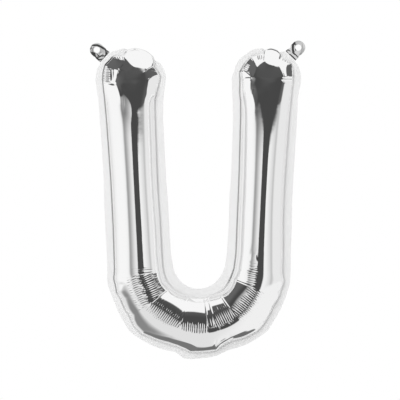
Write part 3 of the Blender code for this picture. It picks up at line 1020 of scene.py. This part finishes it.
def film_panel(name, side, material):
    """A shell: the outer film, and an inner skin of fewer rows and lower rise, joined at the seam."""
    rows = FRONT_ROWS if side < 0 else BACK_ROWS
    points, normal, t, q = film_surface(side, rows)
    spots = points[..., [0, 2]]
    lift = crinkle_lift(points, q) + pleat_lift(t, q)
    if side < 0:
        base = WELD / 2 + GAP
        rise = foot_cut(spots, side * points[..., 1] - base) + facet_lift(spots)
        points[..., 1] = side * (base + np.maximum(rise, 0.0))
        lift = lift + (fold_lift(spots) + patch_lift(spots)) * (1 - smooth(t, 0.97, 1.0))
    points = points + lift[..., None] * normal
    skin = points.reshape(-1, 3)
    around, across = points.shape[:2]
    keep = np.round(np.linspace(0, rows, INNER_ROWS + 1)).astype(int)
    inner = points[:, keep].copy()
    inner[..., [0, 2]] -= WALL * (keep / rows)[:, None] * outline["out"][:, None]
    inner[..., 1] = side * (WELD / 2 + GAP + INNER_SHARE * np.abs(side * inner[..., 1] - WELD / 2 - GAP))
    faces = np.concatenate(
        [grid_faces(around, across), grid_faces(around, INNER_ROWS + 1, start=len(skin))]
    )
    rim = np.arange(around) * across + across - 1
    inner_rim = len(skin) + np.arange(around) * (INNER_ROWS + 1) + INNER_ROWS
    rim_faces = np.stack([rim, np.roll(rim, -1), np.roll(inner_rim, -1), inner_rim], axis=-1)
    faces = np.concatenate([faces, rim_faces])
    return make_piece(name, np.concatenate([skin, inner.reshape(-1, 3)]), faces, material, 70)


def grain_group():
    """The fine unevenness of drawn film: soft noise, and the normal of a bump of that noise."""
    group = bpy.data.node_groups.new("film_grain", "ShaderNodeTree")
    for name, in_out, kind in (
        ("Scale", "INPUT", "NodeSocketFloat"),
        ("Depth", "INPUT", "NodeSocketFloat"),
        ("Grain", "OUTPUT", "NodeSocketFloat"),
        ("Normal", "OUTPUT", "NodeSocketVector"),
    ):
        group.interface.new_socket(name, in_out=in_out, socket_type=kind)
    given, result = group.nodes.new("NodeGroupInput"), group.nodes.new("NodeGroupOutput")
    noise, bump = group.nodes.new("ShaderNodeTexNoise"), group.nodes.new("ShaderNodeBump")
    noise.inputs["Detail"].default_value = 2.0
    for start, end in (
        (group.nodes.new("ShaderNodeTexCoord").outputs["Object"], noise.inputs["Vector"]),
        (given.outputs["Scale"], noise.inputs["Scale"]),
        (given.outputs["Depth"], bump.inputs["Distance"]),
        (noise.outputs["Fac"], bump.inputs["Height"]),
        (noise.outputs["Fac"], result.inputs["Grain"]),
        (bump.outputs["Normal"], result.inputs["Normal"]),
    ):
        group.links.new(start, end)
    return group


def add_grain(tree, shader, scale, depth):
    """Places the grain in a material at its own scale and depth, and gives its noise."""
    grain = tree.nodes.new("ShaderNodeGroup")
    grain.node_tree = film_grain
    grain.inputs["Scale"].default_value = scale
    grain.inputs["Depth"].default_value = depth
    tree.links.new(grain.outputs["Normal"], shader.inputs["Normal"])
    return grain.outputs["Grain"]


film_grain = grain_group()

# The film mirrors the camera's view. Where it is seen in its own reflection it is pale and soft, so
# that the two limbs do not darken each other. Gloss: the roughness from and to; grain: scale, depth.
MIRROR_GLOSS = (0.03, 0.06)
MIRROR_GRAIN = (90.0, 0.04 * MM)
SOFT_ROUGHNESS = 0.55
mirror_film, mirror_shader = plain_finish("mirror_film", 0.93, 0.04, 1.0)
mirror_tree = mirror_film.node_tree
seen_first = mirror_tree.nodes.new("ShaderNodeLightPath").outputs["Is Camera Ray"]
gloss = blend_tones(mirror_tree, add_grain(mirror_tree, mirror_shader, *MIRROR_GRAIN), *MIRROR_GLOSS)
rough = blend_tones(mirror_tree, seen_first, SOFT_ROUGHNESS, gloss)
feed(mirror_tree, mirror_shader.inputs["Roughness"], rough)
feed(mirror_tree, mirror_shader.inputs["Metallic"], seen_first)

front_film = film_panel("front_film", -1, mirror_film)
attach(front_film, "envelope")
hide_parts("front_panel")

# The back panel: the same film, cut from the same sheet and welded to the front one round its
# edge. It is pleated like the front, but has no taut facets by the tabs.
back_film = film_panel("back_film", 1, mirror_film)
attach(back_film, "envelope")
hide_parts("back_panel")

# The welded margin: both films heat sealed together between the seam and the cut edge. The seal
# steps down from the tube along the seam, and the sealed film beyond it is dull and ruffled.
MARGIN_ROWS = 14
# offset: out from the seam; step: how far the seal stands in front of the margin, of which only
# FLAT_STEP is left where the edge faces right; polish: 1 where the film still mirrors.
SEAL = (
    # offset, step, polish
    (-1.9, 0.00, 0),
    (-0.1, 0.00, 0),
    (0, 0.36, 1),
    (0.4, 0.25, 1),
    (0.9, 0.10, 1),
    (1.3, 0.00, 1),
    (1.6, 0.05, 0),
)
FLAT_STEP = 0.4
TUCK_ANGLE = 80.0
RUFFLE_HEIGHT = 0.10
# How many ruffles go round the margin, their share of the height, and their shift.
RUFFLES = ((61, 1, 0), (97, 0.7, 1))


def margin_band(name, material):
    """A thin band round the outline.

    Row by row its middle runs from inside the seam to the cut edge, and turns back behind the film
    where it is tucked. Sine waves ruffle it more and more towards the edge.
    """
    seal = np.array(SEAL)
    share = np.linspace(0.0, 1.0, MARGIN_ROWS)[1:]
    inset, last = -seal[0, 0] * MM, seal[-1, 0] * MM
    wide = (outline["edge"] - outline["seam"] - last)[:, None]
    offset = np.concatenate([np.tile(seal[:, 0] * MM, (len(wide), 1)), last + wide * share], axis=1)
    stand = np.concatenate([seal[:, 1] * MM, np.zeros(len(share))])[None, :]
    tuck = outline["tuck"][:, None] * math.radians(TUCK_ANGLE)
    to_left = smooth(-outline["out"][:, :1], -0.3, 0.3)
    lean = (FLAT_STEP + (1 - FLAT_STEP) * to_left) * np.cos(tuck) ** 4
    reach = outline["seam"][:, None] - inset + (offset + inset) * np.cos(tuck)
    back = (offset + inset) * np.sin(tuck)
    flat = outline["centre"][:, None] + reach[..., None] * outline["out"][:, None]
    steps = np.linalg.norm(np.diff(flat[:, -1], axis=0, prepend=flat[-1:, -1]), axis=1)
    turns = 2 * math.pi * (np.cumsum(steps) / steps.sum())[:, None]
    ruffle = sum(part * np.sin(count * turns + shift) for count, part, shift in RUFFLES)
    ruffle = RUFFLE_HEIGHT * MM * ruffle * smooth(offset / MM, 1.5, 8.0) * np.cos(tuck) ** 2
    layers = []
    for sign in (-1, 1):
        thick = sign * WELD / 2 - (sign < 0) * stand * lean
        layers.append(np.stack([flat[..., 0], back + thick + ruffle, flat[..., 1]], axis=-1))
    ring = np.concatenate([layers[0], layers[1][:, ::-1]], axis=1)
    faces = grid_faces(ring.shape[0], ring.shape[1], True)
    polish = np.concatenate([seal[:, 2], np.zeros(2 * len(share) + len(seal))]) * outline["seal"][:, None]
    return make_piece(name, ring.reshape(-1, 3), faces, material, 50, polish.ravel())


# The sealed film is dull but for its polished places.
DULL_ROUGHNESS = 0.8
SEALED_GLOSS = (0.06, 0.12)
SEALED_GRAIN = (700.0, 0.02 * MM)

welded_film, welded_shader = plain_finish("welded_film", 0.79, DULL_ROUGHNESS)
welded_tree = welded_film.node_tree
polish_mask = welded_tree.nodes.new("ShaderNodeAttribute")
polish_mask.attribute_name = "polish"
polish = polish_mask.outputs["Fac"]
gloss = blend_tones(welded_tree, add_grain(welded_tree, welded_shader, *SEALED_GRAIN), *SEALED_GLOSS)
rough = blend_tones(welded_tree, polish, DULL_ROUGHNESS, gloss)
feed(welded_tree, welded_shader.inputs["Roughness"], rough)
feed(welded_tree, welded_shader.inputs["Metallic"], polish)
margin = margin_band("welded_margin", welded_film)
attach(margin, "envelope")
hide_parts("seam_margin")

# The hanging tabs: ears of the same sealed sheet with a punched eyelet, creased from handling.
# Each bends at its root, where it leaves the margin.
TAB_HALF_WIDTH = 7.9
EYELET_RADIUS = 3.5
TAB_ROWS = 26
TAB_STATIONS = 168
TAB_MIRRORS = (-14.0, 0.0)
TAB_REACH = 16
TAB_ROUND_WEIGHT = 0.12
TABS = {
    # side: eyelet's centre (x, z), the tongue's direction, distance to the root,
    # and notches torn in its edge: angle from the tongue's direction, depth, width in degrees
    "left": ((-115.587, -1.313), (-0.7361, 0.6769), 12.5, ((-137.0, 0.7, 5.0), (118.0, 0.5, 5.0))),
    "right": ((113.699, 1.189), (0.6934, 0.7206), 12.9, ((134.0, 2.0, 9.0), (-128.0, 1.0, 6.0))),
}
# Facets as in the taut patches, on flat film, which keeps nothing of its own slope.
TAB_FACETS = {
    "left": (
        # azimuth, height, half width, corners
        (-24, 0.00, 0, ((100, 48.5), (102.5, 48.8), (105, 50), (105, 53.5), (100, 53.5))),
        (-10, 0.00, 0, ((103.4, 55), (106, 53), (110, 52.5), (100, 62.6), (99.5, 60.8))),
        (-14, 0.00, 0.7, ((89.6, 47.5), (90.8, 45.3), (93, 43.6), (96, 42.9), (99, 43.3), (102, 45),
            (105, 47.6))),
        (6, 0.00, 0.9, ((90.6, 48.9), (91.8, 46.9), (93, 45.8))),
        (-8, 0.36, 1, ((93.4, 45.5), (95, 45), (97.5, 45.2), (100.5, 46.6), (103.4, 48.4))),
        (-12, 0.00, 0.5, ((91.2, 49.2), (91.2, 52))),
        (-30, 0.00, 0.5, ((92.9, 48), (92.9, 51.6))),
        (4, 0.28, 1, ((91, 53.2), (97.5, 58.7))),
        (4, 0.28, 0, ((92.5, 51.8), (95.5, 52.6), (96, 54.4), (92.5, 54.4))),
        (-14, 0.00, 0.6, ((95.8, 53.7), (97, 56.5))),
        (8, 0.00, 0, ((97.5, 53.3), (99.3, 53.3), (99.3, 55.7), (99, 57.5), (97.5, 57.5))),
        (-3, -0.40, 0, ((99.8, 53.7), (102.3, 52.8), (102.1, 54.4), (99.8, 55.8))),
        (-25, 0.36, 0.6, ((98.4, 57.3), (102.8, 54.9))),
        (-3, -0.36, 0, ((100, 57.4), (103.3, 55.9), (103.3, 57.4), (100, 58.9))),
        (2, 0.28, 0, ((100.8, 59.2), (102.4, 58.5), (102.6, 60), (101, 60.8))),
        (-33, 0.00, 0.4, ((98, 54), (103, 51.5))),
        (27, 0.00, 0, ((105.3, 49.8), (106.8, 50.4), (107.6, 52), (107, 54), (105.3, 54))),
        (8, 0.10, 0.5, ((106.8, 49.6), (108.4, 51.6))),
        (-10, 0.00, 0.8, ((108.4, 53.6), (104, 58.2), (101.6, 60.8))),
        (-33, 0.00, 0.4, ((108, 54), (106, 55.7))),
    ),
    "right": (
        (-22, 0.00, 1.2, ((296.5, 42.8), (299, 41.9), (302, 43.5))),
        (-28, 0.12, 0.5, ((295.5, 41), (298.4, 40.4), (301, 41))),
        (-15, 0.00, 0.8, ((303.8, 45), (304.4, 49))),
        (-28, 0.00, 0.6, ((302.3, 44.7), (302.3, 49))),
        (-28, 0.00, 0, ((301, 48.6), (304.8, 48.6), (303.5, 52.4), (301.5, 53), (300.5, 51.5))),
        (-15, 0.00, 0, ((294.8, 51), (300.3, 51.8), (298.4, 55.6), (296.6, 54.6), (294, 52.6))),
        (-30, 0.10, 0, ((298.7, 54), (301.2, 52.6), (301.8, 54.6), (299.4, 57))),
        (4, 0.05, 0.9, ((294.8, 42.4), (293.2, 44.9), (292.6, 47.3), (292.9, 50), (293.2, 51.2))),
        (-14, 0.00, 0, ((284, 51.4), (290.8, 43.5), (291.8, 46.5), (291.6, 49.6), (292.3, 52),
            (293.4, 54.4), (290.4, 53.4), (286, 52.6))),
        (-14, 0.00, 0.5, ((294.6, 45.6), (294.5, 48.2), (294.6, 50.6))),
        (4, 0.05, 0.5, ((295.2, 49), (295.8, 49.8))),
        (2, 0.28, 0.4, ((290.4, 54.6), (292.6, 56.4), (294.4, 58.2))),
        (-14, 0.00, 0.45, ((286.6, 52.4), (289, 54.8), (294.6, 60))),
        (-3, -0.36, 0.6, ((291.7, 53.5), (294, 55.5), (296.6, 58.6))),
        (2, 0.28, 0.6, ((294.8, 54.3), (296.9, 56), (298.4, 58.4))),
        (-14, 0.00, 0, ((288, 55.4), (289.4, 54.4), (296, 60.4), (295, 61.4))),
        (-8, 0.36, 0.45, ((286.4, 50.9), (287.9, 49.7), (289.6, 50.9))),
    ),
}


def tab_rise(side, spots, along):
    """How far a tab's film is pushed out of its plane at each spot, in metres."""
    middle = [round(float(at.mean())) for at in pixel_at(spots)]
    px, py = np.meshgrid(*(np.arange(-TAB_REACH, TAB_REACH, PATCH_STEP) + at for at in middle))
    centre, way, root, _ = TABS[side]
    clear = (plan(px, py) / MM - centre) @ np.array(way) + root
    free = (clear > 0.7).astype(float)
    want = np.tile(mirror_slope(*TAB_MIRRORS), (*px.shape, 1))
    weight = np.full(px.shape, TAB_ROUND_WEIGHT)
    for azimuth, height, half_width, corners in TAB_FACETS[side]:
        mask = covered(px, py, half_width, corners)
        want[mask] = mirror_slope(azimuth, height)
        weight[mask] = 1.0
    heights = relaxed(want, weight, free, PATCH_STEP) * PIXEL
    spot_x, spot_y = pixel_at(spots)
    row, column = (spot_y - py[0, 0]) / PATCH_STEP, (spot_x - px[0, 0]) / PATCH_STEP
    return read_grid(heights, row, column) * smooth(along, 0.0, 1.2)


def tab_film(name, side, material):
    """A ring of film about the eyelet, out to the round end, the straight sides and the root."""
    centre, way, root, notches = TABS[side]
    way = np.array(way)
    across = np.array([-way[1], way[0]])
    corner = math.atan2(TAB_HALF_WIDTH, -root)
    turn = np.linspace(-math.pi, math.pi, TAB_STATIONS, endpoint=False)
    turn = np.sort(np.append(turn, (corner, -corner)))
    cosine, sine = np.cos(turn), np.sin(turn)
    to_side = TAB_HALF_WIDTH / np.maximum(np.abs(sine), 1e-6)
    to_root = root / np.maximum(-cosine, 1e-6)
    reach = np.where(cosine >= 0, TAB_HALF_WIDTH, np.minimum(to_side, to_root))
    for at, depth, width in notches:
        reach = reach - depth * np.exp(-(((np.degrees(turn) - at) / width) ** 2))
    share = np.linspace(0.0, 1.0, TAB_ROWS + 1)[None, :]
    radius = EYELET_RADIUS + (reach[:, None] - EYELET_RADIUS) * share
    ring_way = cosine[:, None] * way + sine[:, None] * across
    spots = (np.array(centre) + radius[..., None] * ring_way[:, None]) * MM
    rise = tab_rise(side, spots, root + radius * cosine[:, None])
    layers = [
        np.stack([spots[..., 0], sign * WELD / 2 - rise, spots[..., 1]], axis=-1) for sign in (-1, 1)
    ]
    ring = np.concatenate([layers[0], layers[1][:, ::-1]], axis=1)
    faces = grid_faces(ring.shape[0], ring.shape[1], True)
    return make_piece(name, ring.reshape(-1, 3), faces, material, 50, 1.0)


for side in TABS:
    tab = tab_film("tab_film_" + side, side, welded_film)
    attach(tab, "tab_" + side)
    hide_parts("hanging_tab_" + side)

# The valve tail: the inlet's two films, left a little longer than the letter and sealed flat once
# it was full. It bows downwards and shows the channel and the bars of its seal.
TAIL_WIDTH = 22.0
TAIL_LENGTH = 19.0
TAIL_CORNER = 4.0
TAIL_ROOT = (0.9, -350.1)
TAIL_THICKNESS = 0.6
TAIL_BARS = (4, 6.2, 8.4)
CHANNEL_HALF_WIDTH = 4.2
VALVE_GLOSS = (0.10, 0.22)


def tail_film(name, material):
    """A tongue with round corners.

    With r the corner's radius and l the length, half its width w falls at the end to
    w - r + sqrt(r^2 - (y - (l - r))^2). It bows by the square of y.
    """
    out = np.linspace(0.0, 1.0, 41)[:, None] * TAIL_LENGTH
    into_corner = np.clip(out - (TAIL_LENGTH - TAIL_CORNER), 0.0, TAIL_CORNER)
    half_width = TAIL_WIDTH / 2 - TAIL_CORNER + np.sqrt(TAIL_CORNER**2 - into_corner**2)
    x = np.linspace(-1.0, 1.0, 49)[None, :] * half_width
    y = out + 0.0 * x
    bow = -1.2 * (y / TAIL_LENGTH) ** 2 + 0.25 * np.sin(x * 0.45 + 0.6) * (y / TAIL_LENGTH)
    bars = sum(0.14 * np.exp(-(((y - at) / 0.5) ** 2)) for at in TAIL_BARS)
    walls = sum(np.exp(-(((x + wall) / 0.7) ** 2)) for wall in (-CHANNEL_HALF_WIDTH, CHANNEL_HALF_WIDTH))
    channel = 0.22 * walls * smooth(y, 0.5, 3.0)
    level = bow + (bars + channel) * smooth(y, 0.0, 1.5)
    root_y, root_z = TAIL_ROOT
    layers = [
        np.stack([x, root_y + y, root_z + level + sign * TAIL_THICKNESS / 2], axis=-1) * MM
        for sign in (-1, 1)
    ]
    rows, columns = x.shape
    ring = np.concatenate([layers[0], layers[1][:, ::-1]], axis=1)
    count = ring.shape[1]
    sides = grid_faces(rows, count, True, closed_around=False)
    k = np.arange(columns - 1)
    ends = [
        np.stack([row + k, row + k + 1, row + count - 2 - k, row + count - 1 - k], axis=-1)
        for row in (0, (rows - 1) * count)
    ]
    faces = np.concatenate([sides, *ends])
    return make_piece(name, ring.reshape(-1, 3), faces, material, 50)


valve_film, valve_shader = plain_finish("valve_film", 0.88, 0.16, 1.0)
valve_tree = valve_film.node_tree
gloss = blend_tones(valve_tree, add_grain(valve_tree, valve_shader, *SEALED_GRAIN), *VALVE_GLOSS)
feed(valve_tree, valve_shader.inputs["Roughness"], gloss)
tail = tail_film("tail_film", valve_film)
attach(tail, "tail")
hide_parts("valve_tail")
